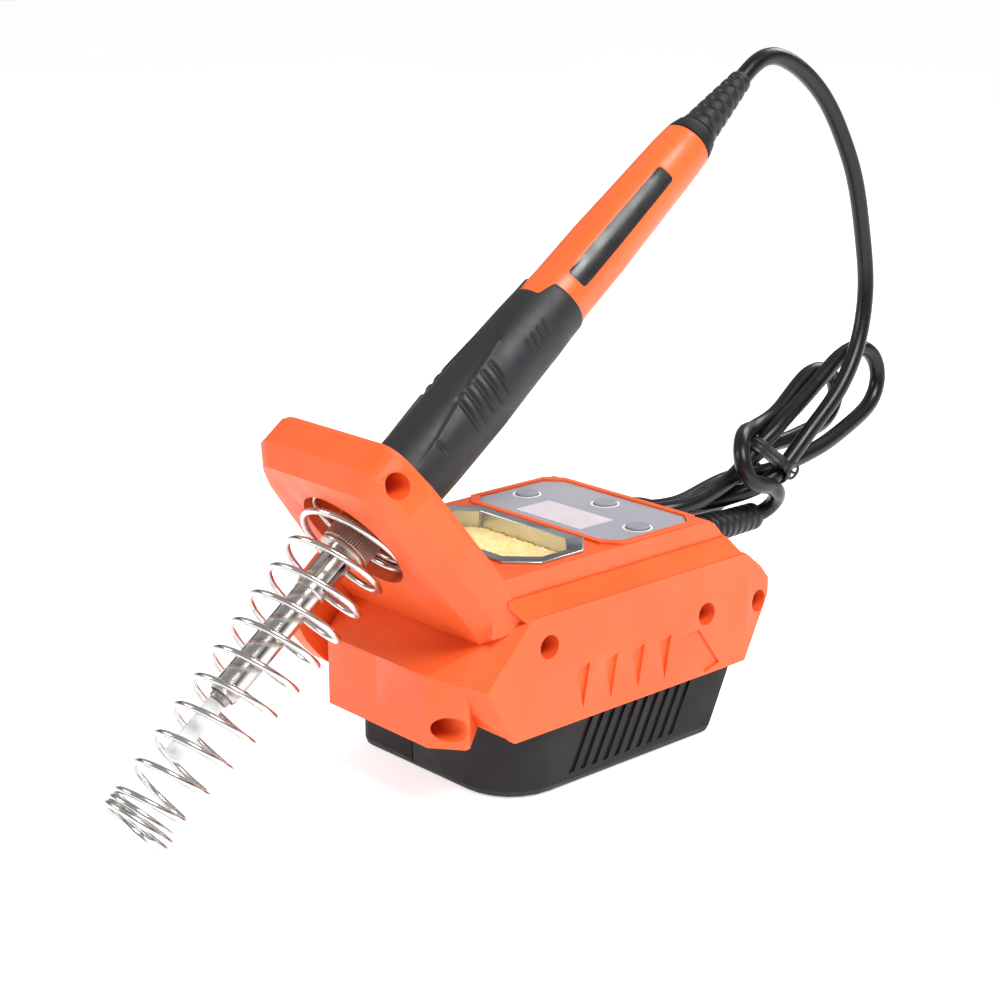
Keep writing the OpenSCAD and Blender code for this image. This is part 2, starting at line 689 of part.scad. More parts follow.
module handle_shell() color(orange) at_iron() turned([
    [handle_bore_r, nose_t], [under_grip_r - 1, nose_t], [under_grip_r, nose_t + 1],
    [under_grip_r, grip_rear_t], [handle_r, grip_rear_t], [handle_r - 0.2, 98],
    [(handle_r + handle_end_r) / 2 + 0.2, handle_l * 0.81], [handle_end_r + 0.8, handle_l - 8],
    [handle_end_r, handle_l], [handle_bore_r - 1, handle_l], [handle_bore_r - 1, handle_l - 6],
    [handle_bore_r, handle_l - 9]]);

module grip_sleeve() color([0.22, 0.22, 0.24]) at_iron() turned([
    [under_grip_r + 0.05, nose_t + 1.2], [under_grip_r + 0.9, nose_t], [12, nose_t],
    [grip_r - 0.3, -6], [grip_r, 4], [grip_r, 28], [grip_r - 0.7, 44], [grip_r - 0.8, 58],
    [handle_r + 0.35, grip_rear_t - 1], [handle_r, grip_rear_t - 0.05],
    [under_grip_r + 0.05, grip_rear_t - 0.05]]);

function handle_at(t) = t < 98
    ? blend(handle_r, handle_r - 0.2, (t - grip_rear_t) / (98 - grip_rear_t))
    : t < handle_l * 0.81
    ? blend(handle_r - 0.2, (handle_r + handle_end_r) / 2 + 0.2, (t - 98) / (handle_l * 0.81 - 98))
    : blend((handle_r + handle_end_r) / 2 + 0.2, handle_end_r + 0.8,
        (t - handle_l * 0.81) / (handle_l * 0.19 - 8));

module label_plate() color([0.25, 0.25, 0.26]) at_iron() rotate([0, 0, 13])
    rotate_extrude(angle = 39, $fn = round_fn) {
        stops = [78, 98, handle_l * 0.81, handle_l - 19];
        polygon(concat([for (t = stops) [handle_at(t) + 0.05, t]],
            [for (i = [3:-1:0]) [handle_at(stops[i]) + 0.35, stops[i]]]));
    }

module rear_collar() color(black) at_iron() difference() {
    turned([[3, handle_l - 5.9], [handle_bore_r - 1.05, handle_l - 5.9],
        [handle_bore_r - 1.05, handle_l], [handle_end_r + 0.1, handle_l],
        [handle_end_r - 0.2, handle_l + 1], [7.4, handle_l + collar_l], [3, handle_l + collar_l]]);
    translate([0, 0, handle_l - 10]) cylinder(h = 30, r = 5.1, $fn = round_fn);
}

module iron_boot() color(black) at_iron() difference() {
    union() {
        translate([0, 0, handle_l - 4]) cylinder(h = collar_l + 4, r = 5.05, $fn = round_fn);
        translate([0, 0, handle_l + collar_l]) boot_body(boot_l, 6.9, boot_end_r, 7);
    }
    translate([0, 0, handle_l - 5]) cylinder(h = 60, r = cord_d / 2 + 0.05, $fn = round_fn);
}

module lead_board() color([0.1, 0.4, 0.25]) at_iron() translate([-7.1, -0.8, 20])
    cube([14.2, 1.6, 36]);

// Threaded steel collar in the handle's nose that the barrel nut screws onto
module thread_collar() color(steel) at_iron() turned([[collar_bore_r, nut_front_t + 2.1],
    [6.3, nut_front_t + 2.1], [6.3, nose_t - 1], [handle_bore_r + 1.6, nose_t - 1],
    [handle_bore_r + 1.6, nose_t - 0.05], [handle_bore_r - 0.05, nose_t - 0.05],
    [handle_bore_r - 0.05, nose_t + 12], [collar_bore_r, nose_t + 12]]);

collar_bore_r = 4.4;
module heater_base() color([0.9, 0.88, 0.82]) at_iron() translate([0, 0, nose_t - 8])
    difference() {
        cylinder(h = 19.8, r = collar_bore_r - 0.05, $fn = round_fn);
        translate([0, 0, -1]) cylinder(h = 30, r = heater_r + 0.02, $fn = round_fn);
    }

module heater() color([0.95, 0.94, 0.9]) at_iron() translate([0, 0, -94])
    cylinder(h = 94 + nose_t + 11, r = heater_r, $fn = round_fn);

slot_r = 5.1;
module barrel() color(steel) at_iron() difference() {
    turned([[4.2, barrel_end_t], [barrel_r - 0.5, barrel_end_t], [barrel_r, barrel_end_t + 0.8],
        [barrel_r, slot_end_t], [slot_r, slot_end_t + 0.6], [slot_r, nut_front_t + 0.9],
        [6.3, nut_front_t + 0.9], [6.3, nut_front_t + 2], [4.2, nut_front_t + 2]]);
    for (a = [0:60:300]) rotate([0, 0, a]) translate([3, 0, 0]) hull() {
        for (t = [slot_end_t + 3, nut_front_t - 3]) translate([0, 0, t]) rotate([0, 90, 0])
            cylinder(h = 4, r = 0.8, $fn = 24);
    }
}

// Collar of the handle that the nut screws onto, and the knurled nut itself
module barrel_nut() color([0.75, 0.72, 0.68]) at_iron() difference() {
    union() {
        translate([0, 0, nut_front_t + 1.6]) cylinder(h = nut_rear_t - nut_front_t - 1.6, r = nut_r - 0.4,
            $fn = round_fn);
        translate([0, 0, nut_front_t]) cylinder(h = 1.6, r = nut_r, $fn = round_fn);
        for (a = [0:9:351]) rotate([0, 0, a]) translate([nut_r - 0.5, -0.35, nut_front_t + 2.4])
            cube([0.5, 0.7, nut_rear_t - nut_front_t - 3]);
    }
    translate([0, 0, nut_front_t - 1]) cylinder(h = 20, r = slot_r + 0.06, $fn = round_fn);
    translate([0, 0, nut_front_t + 0.85]) cylinder(h = 20, r = 6.4, $fn = round_fn);
}

module soldering_tip() color([0.7, 0.68, 0.66]) at_iron() difference() {
    turned([[0, tip_point_t], [0.35, tip_point_t], [2.3, tip_shoulder_t - 3],
        [2.3, tip_shoulder_t], [tip_r, tip_shoulder_t + 0.6], [tip_r, barrel_end_t + 1],
        [4.1, barrel_end_t + 1.4], [4.1, -74], [0, -74]]);
    translate([0, 0, -94.2]) cylinder(h = 40, r = heater_r + 0.05, $fn = round_fn);
}

module tip_cap() color([0.95, 0.95, 0.97, 0.7]) at_iron() turned([
    [0, cap_end_t], [cap_r - 0.5, cap_end_t], [cap_r, cap_end_t + 0.8],
    [cap_r, tip_shoulder_t - 0.1], [2.36, tip_shoulder_t - 0.1], [2.36, tip_shoulder_t - 4],
    [1.2, tip_point_t - 0.6], [0, tip_point_t - 0.6]]);

// ---- cord ----

function direction(p, k) = let (a = p[max(0, k - 1)], b = p[min(len(p) - 1, k + 1)], d = b - a)
    d / norm(d);
// Ring of a tube whose route stays in a plane x = constant
function tube_ring(p, k, r, sides) = let (d = direction(p, k), u = [0, -d[2], d[1]])
    [for (j = [0:sides - 1]) p[k] + r * (cos(360 * j / sides) * [1, 0, 0]
        + sin(360 * j / sides) * u)];
module tube(p, r, sides) polyhedron(
    points = [for (k = [0:len(p) - 1]) each tube_ring(p, k, r, sides)],
    faces = tube_faces(len(p), sides), convexity = 6);

module cord_arch() color(black) tube(arch_points, cord_d / 2, 12);
module cord_tail() color(black) tube(tail_points, cord_d / 2, 12);

// The tied hank: strands side by side, narrow above the base and looped at its free end
hank_hx = 10;
module cord_hank() color(black) rotate([90, 0, 90]) translate([0, 0, -hank_hx])
    linear_extrude(2 * hank_hx) for (i = [0:1]) hull() {
        translate([hank_ends[i][0], hank_ends[i][1]]) circle(r = hank_ends[i][2], $fn = 32);
        translate([hank_ends[i + 1][0], hank_ends[i + 1][1]])
            circle(r = hank_ends[i + 1][2], $fn = 32);
    }

// Twist tie drawn round the middle of the hank
module cord_tie() color([0.1, 0.1, 0.1]) translate([0, hank_ends[1][0], hank_ends[1][1]])
    rotate([20, 0, 0]) difference() {
        cube([2 * hank_hx + 1.2, 3.2, 2 * hank_ends[1][2] + 3], center = true);
        cube([2 * hank_hx + 0.02, 5, 2 * hank_ends[1][2] + 1.8], center = true);
    }

housing_left();
housing_right();
dock_frame();
housing_screws();
dock_screws();
dock_terminals();
terminal_block();
control_board();
board_screws();
display_module();
display_window();
control_panel();
button_left();
button_middle();
button_right();
switch_bodies();
stand_spring();
sponge_tray();
sponge();
base_boot();
pack_lower_shell();
pack_upper_shell();
pack_cells();
cell_straps();
pack_board();
pack_contacts();
pack_screws();
pack_latch();
latch_spring();
handle_shell();
grip_sleeve();
label_plate();
rear_collar();
iron_boot();
lead_board();
thread_collar();
heater_base();
heater();
barrel();
barrel_nut();
soldering_tip();
tip_cap();
cord_arch();
cord_hank();
cord_tail();
cord_tie();
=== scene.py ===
# %% [markdown]
# # Cordless soldering station
# The measured solids come in as a fixed frame. Everything here is the look of the real thing:
# moulded orange ABS, black nylon, nickel-plated wire, a rubber grip and a limp rubber cord.

# %% Load the frame
import json
import math
import bmesh
import bpy
import numpy as np
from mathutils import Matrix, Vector


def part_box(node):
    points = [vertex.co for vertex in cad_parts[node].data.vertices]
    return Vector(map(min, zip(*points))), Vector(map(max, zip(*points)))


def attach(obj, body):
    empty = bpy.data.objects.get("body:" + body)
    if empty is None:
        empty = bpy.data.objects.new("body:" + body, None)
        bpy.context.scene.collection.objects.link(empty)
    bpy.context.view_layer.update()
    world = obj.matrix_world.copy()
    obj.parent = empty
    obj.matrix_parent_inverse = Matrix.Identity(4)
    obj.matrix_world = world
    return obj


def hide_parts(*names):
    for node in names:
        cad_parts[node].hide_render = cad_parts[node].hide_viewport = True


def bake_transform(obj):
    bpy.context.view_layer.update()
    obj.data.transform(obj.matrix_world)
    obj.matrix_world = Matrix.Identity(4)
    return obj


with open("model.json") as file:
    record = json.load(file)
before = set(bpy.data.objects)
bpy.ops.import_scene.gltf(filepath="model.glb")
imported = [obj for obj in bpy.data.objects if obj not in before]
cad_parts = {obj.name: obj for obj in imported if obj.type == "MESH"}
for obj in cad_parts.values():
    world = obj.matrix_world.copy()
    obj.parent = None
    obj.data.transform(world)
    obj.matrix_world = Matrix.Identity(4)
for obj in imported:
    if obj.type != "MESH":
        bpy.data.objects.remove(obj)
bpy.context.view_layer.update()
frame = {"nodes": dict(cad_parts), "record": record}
nodes = frame["nodes"]
MM = 0.001

# %% [markdown]
# The camera stands in front of the spring, to its right and a little above, as a small studio
# camera would. A 71 mm lens keeps the perspective gentle.

# %% Camera
camera = bpy.data.objects.new("camera", bpy.data.cameras.new("camera"))
bpy.context.scene.collection.objects.link(camera)
camera.location = (0.4607, -0.4326, 0.2719)
camera.rotation_euler = [math.radians(a) for a in (73.5975, 0.0, 47.856)]
camera.data.lens, camera.data.sensor_width, camera.data.clip_start = 70.96, 36.0, 0.01
bpy.context.scene.camera = camera

# %% [markdown]
# Every swept or turned piece below is a grid of points joined into quads. One helper does the
# joining: rows of rings, closed round each ring, and either capped with a single point at each
# end or joined back to the first ring, so no seam or pole is left open.

# %% Grid to mesh
def mesh_object(name, points, faces, smooth_angle=40):
    """Links a mesh of points in millimetres. A negative volume means its faces point inwards,
    so they are turned round."""
    mesh = bpy.data.meshes.new(name)
    mesh.from_pydata((np.asarray(points) * MM).tolist(), [], [list(f) for f in faces])
    mesh.update()
    work = bmesh.new()
    work.from_mesh(mesh)
    if work.calc_volume(signed=True) < 0:
        bmesh.ops.reverse_faces(work, faces=work.faces)
    work.to_mesh(mesh)
    work.free()
    mesh.shade_smooth()
    mesh.set_sharp_from_angle(angle=math.radians(smooth_angle))
    piece = bpy.data.objects.new(name, mesh)
    bpy.context.scene.collection.objects.link(piece)
    return piece


def ring_faces(rows, sides, loop):
    """Quads between neighbouring rings; the last ring meets the first one when loop is true."""
    k, j = np.meshgrid(np.arange(rows if loop else rows - 1), np.arange(sides), indexing="ij")
    a, b = k * sides, ((k + 1) % rows) * sides
    m = (j + 1) % sides
    return np.stack([a + j, a + m, b + m, b + j], -1).reshape(-1, 4).tolist()


def ringed(name, rings, loop=False, smooth_angle=40):
    """A closed skin over rings[row, side, xyz], with a fan to the middle of each open end."""
    rows, sides = rings.shape[:2]
    points = rings.reshape(-1, 3)
    faces = ring_faces(rows, sides, loop)
    if not loop:
        ends = [rings[0].mean(0), rings[-1].mean(0)]
        points = np.vstack([points, ends])
        j = np.arange(sides)
        m = (j + 1) % sides
        n, last = rows * sides, (rows - 1) * sides
        faces += np.stack([m, j, np.full(sides, n)], 1).tolist()
        faces += np.stack([last + j, last + m, np.full(sides, n + 1)], 1).tolist()
    return mesh_object(name, points, faces, smooth_angle)

# %% [markdown]
# The iron leans in its stand. Its own axis is the natural place to work: t runs back along the
# iron, and a radius turns round it. Points go from there to the station's frame by one sum.

# %% The iron's axis
TILT = math.radians(36.9)
AXIS_START = np.array([0, -49.7, 108.5])
ALONG = np.array([0, math.cos(TILT), math.sin(TILT)])
ACROSS = np.array([0, -math.sin(TILT), math.cos(TILT)])
SIDE = np.array([1.0, 0, 0])


def on_iron(x, v, t):
    """Start of the axis plus x to the side, v upwards across the iron and t along it."""
    x, v, t = np.broadcast_arrays(x, v, t)
    return AXIS_START + x[..., None] * SIDE + v[..., None] * ACROSS + t[..., None] * ALONG


def turned(name, profile, sides=96, loop=False, smooth_angle=35):
    """Turns (radius, t) points about the axis: x = r cos a, v = r sin a."""
    p = np.asarray(profile, float)
    a = np.linspace(0, 2 * math.pi, sides, endpoint=False)
    rings = on_iron(p[:, :1] * np.cos(a), p[:, :1] * np.sin(a), p[:, 1:])
    return ringed(name, rings, loop, smooth_angle)

# %% [markdown]
# The cord is 6.2 mm rubber, limp, 0.87 m long. It leaves the iron's boot, arches down, is
# folded into a small hank held by a twisted tie, and goes back into the base. Its route is drawn
# with points, then relaxed: tight bends ease, strands push each other a diameter apart.

# %% The cord's route
CORD_D = 6.2
BOOT_Z, BOOT_CLEAR = 57.6, 8.3  # the base boot's axis, and how near the cord may pass it
route = np.array([
    (0, 94.6, 216.9), (0, 97.8, 219.3), (0, 104, 223.6), (0, 112, 226), (0, 122, 224),
    (0, 134, 217.5), (0, 145, 208), (0, 154, 196), (0, 162, 182), (0, 167, 168), (0, 171, 152),
    (1, 172, 138), (3, 168, 122), (5, 160, 109), (6, 150, 98.5), (6, 138, 89), (5.6, 128, 80.5),
    # past the tie, low behind the boot, round behind the deck and back along its rear ledge
    (4.8, 120, 74), (2, 112.5, 69.5), (-3, 105, 66.5), (-9, 97.5, 63.5), (-17, 90.5, 60.5),
    (-27, 84, 58), (-34.5, 75, 60), (-31, 64, 65.5), (-19, 58.8, 67), (-6, 63, 68),
    (0.2, 75, 69.2), (0.6, 88, 71.6), (0.4, 99, 75), (-0.4, 108, 79.4), (-0.8, 116, 84.5),
    # the long loop
    (-0.8, 123.5, 89.2), (-1.4, 132, 93.5), (-3, 144, 99), (-4, 157, 106), (-4, 167, 111),
    (-3.5, 177, 113), (-3, 185.5, 110.5), (-2, 189, 102.5), (-1, 185, 93.5), (0, 177, 88),
    (0.5, 166, 83.5), (1, 150, 78.5), (0.5, 134, 75.3), (-1.8, 119, 72.8),
    # the inner fold behind the deck
    (-5.5, 110, 72.5), (-6.2, 98, 71.5), (-6.2, 87, 69.5), (-6.2, 76, 67.8), (-9.7, 67, 67),
    (-18, 64, 66.4), (-26.6, 68, 63.5), (-30, 77, 58), (-27, 87, 55.8), (-20, 96, 56.2),
    (-13, 104, 60), (-9.5, 110.5, 67), (-7.6, 117.5, 76),
    # the short loop
    (-7.6, 126, 80), (-8.5, 140, 80.5), (-9, 154, 82), (-9.5, 165, 84), (-9.8, 174, 92),
    (-9.8, 170, 102.5), (-9.5, 159, 105.5), (-9, 148, 101.5), (-7.5, 136, 94.5),
    (-6.5, 127, 91),
    # over the tie, down in an S and into the base's boot
    (-5, 116.5, 89.5), (-1, 107, 90.5), (5, 98, 88), (9, 92.5, 84), (10.5, 92, 78),
    (10.5, 99, 74.5), (9.8, 107, 72.5), (8.5, 115, 69.5), (6, 121, 65), (2.5, 122, 59.5),
    (0, 117, 57.6), (0, 110, 57.6)], float)


def smooth_route(p, step):
    """Natural cubic through the points over root-of-chord time, walked in even steps."""
    h = np.sqrt(np.linalg.norm(np.diff(p, axis=0), axis=1))
    time, n = np.concatenate([[0], np.cumsum(h)]), len(p)
    lhs, rhs = np.eye(n), np.zeros((n, 3))
    i = np.arange(1, n - 1)
    lhs[i, i - 1], lhs[i, i], lhs[i, i + 1] = h[:-1], 2 * (h[:-1] + h[1:]), h[1:]
    rhs[i] = 6 * ((p[2:] - p[1:-1]) / h[1:, None] - (p[1:-1] - p[:-2]) / h[:-1, None])
    m = np.linalg.solve(lhs, rhs)
    q = np.linspace(0, time[-1], 5000)
    k = np.clip(np.searchsorted(time, q) - 1, 0, n - 2)
    a, b, hk = (time[k + 1] - q)[:, None], (q - time[k])[:, None], h[k][:, None]
    x = (m[k] * a ** 3 + m[k + 1] * b ** 3) / (6 * hk) + (p[k] / hk - m[k] * hk / 6) * a \
        + (p[k + 1] / hk - m[k + 1] * hk / 6) * b
    run = np.concatenate([[0], np.cumsum(np.linalg.norm(np.diff(x, axis=0), axis=1))])
    w = np.linspace(0, run[-1], int(run[-1] / step) + 1)
    return np.stack([np.interp(w, run, x[:, c]) for c in range(3)], 1)


def unit(v):
    return v / np.maximum(np.linalg.norm(v, axis=-1, keepdims=True), 1e-9)


def relaxed(p, ease_r, apart, rounds=400):
    """Bends under ease_r straighten, strands nearer than apart push away, the drawn route pulls."""
    drawn, i = p.copy(), np.arange(len(p))
    held = (i < 6) | (i > len(p) - 4)
    for _ in range(rounds):
        bend = np.zeros_like(p)
        bend[1:-1] = (p[:-2] + p[2:]) / 2 - p[1:-1]
        step = np.linalg.norm(np.diff(p, axis=0), axis=1).mean()
        tight = np.clip(2 * np.linalg.norm(bend, axis=1) / step ** 2 * ease_r - 1, 0, 1)
        move = bend * np.convolve(tight, np.ones(3) / 3, "same")[:, None] * 0.9
        gap = p[:, None] - p[None]
        d = np.linalg.norm(gap, axis=2)
        near = (np.abs(i[:, None] - i[None]) > 6) & (d < apart)
        push = np.where(near, (apart - d) * 0.25 / np.maximum(d, 1e-6), 0)
        move += (gap * push[..., None]).sum(1) + (drawn - p) * 0.012
        along = unit(np.gradient(p, axis=0))
        move += along * (bend * along).sum(1)[:, None] * 0.5
        p = p + np.where(held[:, None], 0, move)
        # the ledge and tail of the housing under the folds, the deck's back, and the boot
        y = p[:, 1]
        floor = np.interp(y, [61, 71, 76, 78], [66.9, 59.9, 55, 55])
        low = ~held & (y > 40) & (p[:, 2] < 80)
        p[:, 2] = np.where(low, np.maximum(p[:, 2], floor), p[:, 2])
        p[:, 1] = np.where(low, np.maximum(y, 58.5), y)
        off = np.stack([p[:, 0], p[:, 2] - BOOT_Z], 1)
        far = np.linalg.norm(off, axis=1)
        hit = ~held & (y > 66) & (y < 113) & (far < BOOT_CLEAR)
        grow = np.where(hit, BOOT_CLEAR / np.maximum(far, 1e-6), 1)
        p[:, 0], p[:, 2] = p[:, 0] * grow, BOOT_Z + off[:, 1] * grow
    return p


cord_path = smooth_route(relaxed(smooth_route(route, 3.0), 13.5, CORD_D + 0.2)[::2], 1.5)

# %% Tube along a path
def tube(name, path, radius, sides=14):
    """Rings at right angles to the path. Each ring's frame is the last one turned as little as
    it needs, and the radius may be a number or one per point. Round ends shrink to a point."""
    path = np.asarray(path, float)
    t = unit(np.gradient(path, axis=0))
    up = [unit(np.cross(t[0], [0.3, 0.9, 0.2]))]
    for k in range(1, len(path)):
        up.append(unit(up[-1] - t[k] * np.dot(up[-1], t[k])))
    up = np.array(up)
    side = np.cross(t, up)
    a = np.linspace(0, 2 * math.pi, sides, endpoint=False)
    r = np.broadcast_to(radius, len(path))[:, None, None]
    rings = path[:, None] + r * (np.cos(a)[None, :, None] * up[:, None]
                                 + np.sin(a)[None, :, None] * side[:, None])
    return ringed(name, rings, smooth_angle=50)


cord = tube("cord", cord_path, CORD_D / 2)

# %% [markdown]
# ## Materials
# One helper adds a shader node with its settings and links. Colours are written as the sRGB a
# screen shows, and one function turns them into the linear values that the shader wants.

# %% Material helpers
def linear(code):
    c = np.array([int(code[i:i + 2], 16) / 255 for i in (0, 2, 4)])
    return (*np.where(c <= 0.04045, c / 12.92, ((c + 0.055) / 1.055) ** 2.4), 1.0)


def add(tree, kind, links=None, **settings):
    """One node: settings that name a socket set its value, others set a property; links joins."""
    node = tree.nodes.new("ShaderNode" + kind)
    for key, value in settings.items():
        socket = node.inputs.get(key.replace("_", " "))
        if socket is not None:
            socket.default_value = value
        else:
            setattr(node, key, value)
    for key, source in (links or {}).items():
        tree.links.new(source, node.inputs[key])
    return node


def start(name, colour, rough, **shader):
    """A material whose principled shader has a base colour and roughness; returns its parts."""
    material = bpy.data.materials.new(name)
    material.use_nodes = True
    tree = material.node_tree
    bsdf = tree.nodes["Principled BSDF"]
    bsdf.inputs["Base Color"].default_value = linear(colour)
    bsdf.inputs["Roughness"].default_value = rough
    for key, value in shader.items():
        bsdf.inputs[key.replace("_", " ")].default_value = value
    return material, tree, bsdf, add(tree, "TexCoord").outputs["Object"]


def grain(tree, bsdf, place, size_mm, depth_mm, detail=3.0, strength=0.5):
    """Bump from noise whose lumps are size_mm across: its scale is one over that in metres."""
    noise = add(tree, "TexNoise", {"Vector": place}, Scale=1000 / size_mm, Detail=detail)
    bump = add(tree, "Bump", {"Height": noise.outputs["Fac"]}, Strength=strength,
               Distance=depth_mm * MM)
    tree.links.new(bump.outputs["Normal"], bsdf.inputs["Normal"])
    return noise, bump


def mottle(tree, bsdf, place, size_mm, dark, light, socket="Base Color", low=0.35, high=0.65):
    """A slow change of colour or roughness from one value to another over size_mm patches."""
    noise = add(tree, "TexNoise", {"Vector": place}, Scale=1000 / size_mm, Detail=4.0)
    ramp = add(tree, "ValToRGB", {"Fac": noise.outputs["Fac"]})
    ramp.color_ramp.elements[0].position, ramp.color_ramp.elements[1].position = low, high
    ramp.color_ramp.elements[0].color, ramp.color_ramp.elements[1].color = dark, light
    tree.links.new(ramp.outputs["Color"], bsdf.inputs[socket])
    return ramp

# %% [markdown]
# ABS from a spark-eroded mould: the tool's fine craters leave a soft, even grain that spreads
# highlights. The real grain is about 0.15 mm; it is drawn at 0.45 mm so that it shows at all.

# %% Moulded plastics
def grey(v):
    return (v, v, v, 1.0)


def moulded(name, colour, other, rough, grain_mm, depth_mm, shine=0.45):
    """Injection-moulded plastic: slight drift of tone, spark grain, and roughness patches."""
    material, tree, bsdf, place = start(name, colour, rough, Specular_IOR_Level=shine)
    mottle(tree, bsdf, place, 38, linear(colour), linear(other))
    mottle(tree, bsdf, place, 9, grey(rough - 0.05), grey(rough + 0.06), "Roughness")
    grain(tree, bsdf, place, grain_mm, depth_mm)
    return material


orange_abs = moulded("orange_abs_spark_moulded", "E95921", "ED6129", 0.44, 0.45, 0.05)
handle_abs = moulded("orange_abs_satin_moulded", "EC6029", "EE6831", 0.34, 0.6, 0.02)
black_nylon = moulded("black_nylon_spark_moulded", "131212", "171616", 0.52, 0.5, 0.06, 0.3)
grip_tpe = moulded("grip_tpe_overmoulded", "1C1D20", "222327", 0.5, 0.4, 0.04)
cord_rubber = moulded("cord_rubber_extruded", "0D0E10", "121315", 0.3, 1.2, 0.03, 0.35)
boot_rubber = moulded("boot_rubber_moulded", "1B1B1D", "202022", 0.42, 0.5, 0.04)
label_film = moulded("label_film_bare", "232325", "272729", 0.3, 0.8, 0.01)
panel_film = moulded("panel_film_printed_grey", "9A9BA4", "9FA0A8", 0.42, 0.5, 0.02)
button_pc = moulded("button_polycarbonate_satin", "8E8F98", "93949C", 0.38, 0.5, 0.015)
latch_red = moulded("latch_nylon_red", "A3241C", "AB2A20", 0.4, 0.5, 0.03)
print_white = moulded("print_white_ink", "E9E9EC", "F1F1F3", 0.5, 0.6, 0.01)
fired_alumina = moulded("alumina_fired", "E6E1D2", "EFEADC", 0.62, 0.5, 0.03)

# %% [markdown]
# Metals keep their default index of refraction; only colour, roughness and fine scratches
# change. Plated wire is bright, pressed tin-plate a little cloudy, and the tip a plain
# warm grey.

# %% Metals
def metal(name, colour, rough, spread, scratch_mm, depth_mm, stretch=(1, 1, 1)):
    """Metal whose roughness drifts by spread and whose fine scratches run along one axis."""
    material, tree, bsdf, place = start(name, colour, rough, Metallic=1.0)
    mottle(tree, bsdf, place, 14, grey(rough), grey(rough + spread), "Roughness")
    lay = add(tree, "Mapping", {"Vector": place}, Scale=stretch)
    grain(tree, bsdf, lay.outputs["Vector"], scratch_mm, depth_mm, 5.0, 0.35)
    return material


nickel_wire = metal("nickel_plated_spring_wire", "CFCECC", 0.14, 0.12, 0.8, 0.02)
steel_polished = metal("stainless_tube_polished", "C9C6C2", 0.16, 0.1, 0.7, 0.02, (0.1, 1, 1))
nut_steel = metal("nut_steel_knurled_nickel", "BFB2A6", 0.24, 0.14, 0.5, 0.03)
screw_zinc = metal("screw_steel_zinc_plated", "A9AAB0", 0.3, 0.1, 0.5, 0.02)
tin_plate = metal("tin_plate_pressed", "D6D7DB", 0.2, 0.16, 1.5, 0.03, (1, 0.15, 1))
brass_sheet = metal("brass_sheet_stamped", "C9AE62", 0.28, 0.1, 0.8, 0.02, (1, 0.2, 1))
tip_plated = metal("tip_iron_plated_chromed", "A39E99", 0.3, 0.16, 0.6, 0.03)
cell_wrap = moulded("cell_wrap_shrunk_blue", "2F6FA8", "3375AE", 0.34, 1.0, 0.01)
board_green = moulded("laminate_green_soldermask", "1E5B3A", "23633F", 0.3, 1.2, 0.02)

# %% [markdown]
# The window is a clear pane over a pale display, the tip's cap is a translucent moulding that
# lets light through, and the sponge is dry cellulose: open pores of about 1 mm in a warm mat.

# %% Clear parts and the sponge
window_clear, wt, wb, wp = start("window_acrylic_polished", "E9E1E6", 0.12, Coat_Weight=0.6,
                                 Coat_Roughness=0.05)
mottle(wt, wb, wp, 12, linear("E4DBE1"), linear("EEE7EB"))
cap_clear, ct, cb, cp = start("cap_polypropylene_translucent", "F8F8F8", 0.32,
                              Transmission_Weight=0.25, Subsurface_Weight=0.3)
cb.inputs["Subsurface Radius"].default_value = (0.003, 0.003, 0.003)
grain(ct, cb, cp, 0.8, 0.02)

sponge_cellulose, tree, bsdf, place = start("sponge_cellulose_cut_dry", "F3DA93", 0.9)
mottle(tree, bsdf, place, 5, linear("EFD286"), linear("F8E3A6"))
pores = add(tree, "TexVoronoi", {"Vector": place}, Scale=1000 / 1.6)
fine = add(tree, "TexNoise", {"Vector": place}, Scale=1000 / 0.7, Detail=4.0)
both = add(tree, "Math", {0: pores.outputs["Distance"], 1: fine.outputs["Fac"]}, operation="ADD")
bump = add(tree, "Bump", {"Height": both.outputs["Value"]}, Strength=0.8, Distance=0.5 * MM)
tree.links.new(bump.outputs["Normal"], bsdf.inputs["Normal"])
print("materials", len(bpy.data.materials))

# %% [markdown]
# ## Finishing a piece
# A new piece gets its material, its body and its slot, and hides the plain solid it stands for.
# Solids that are already right keep their mesh and get a finish in their material slots.

# %% Finish helpers
slot_of = {s["node"]: s["material_slot"] for s in frame["record"]["subparts"]}
body_of = {n: b for b, group in frame["record"]["behaviour"]["bodies"].items() for n in group}


def finish_piece(piece, material, body, *replaced):
    piece.data.materials.clear()
    piece.data.materials.append(material)
    if body:
        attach(piece, body)
    if replaced:
        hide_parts(*replaced)
    return piece


EDGE_ANGLE = math.radians(28)


def rounded(node, name, material, width_mm, segments=2):
    """A copy of a solid with its doubles merged, flat triangles joined, and its edges bevelled."""
    mesh = nodes[node].data.copy()
    mesh.name = name
    work = bmesh.new()
    work.from_mesh(mesh)
    bmesh.ops.remove_doubles(work, verts=work.verts, dist=2e-6)
    bmesh.ops.dissolve_limit(work, angle_limit=math.radians(0.6), verts=work.verts,
                             edges=work.edges)
    work.to_mesh(mesh)
    work.free()
    mesh.shade_smooth()
    mesh.set_sharp_from_angle(angle=EDGE_ANGLE)
    piece = bpy.data.objects.new(name, mesh)
    bpy.context.scene.collection.objects.link(piece)
    bevel = piece.modifiers.new("edges", "BEVEL")
    bevel.width, bevel.segments = width_mm * MM, segments
    bevel.limit_method, bevel.angle_limit = "ANGLE", EDGE_ANGLE
    bevel.use_clamp_overlap = True
    return finish_piece(piece, material, body_of[node], node)

# %% [markdown]
# The housing's halves meet on the centre plane, and a mould leaves every edge with a small
# radius. Merged copies take a narrow bevel so that the edges catch the light.

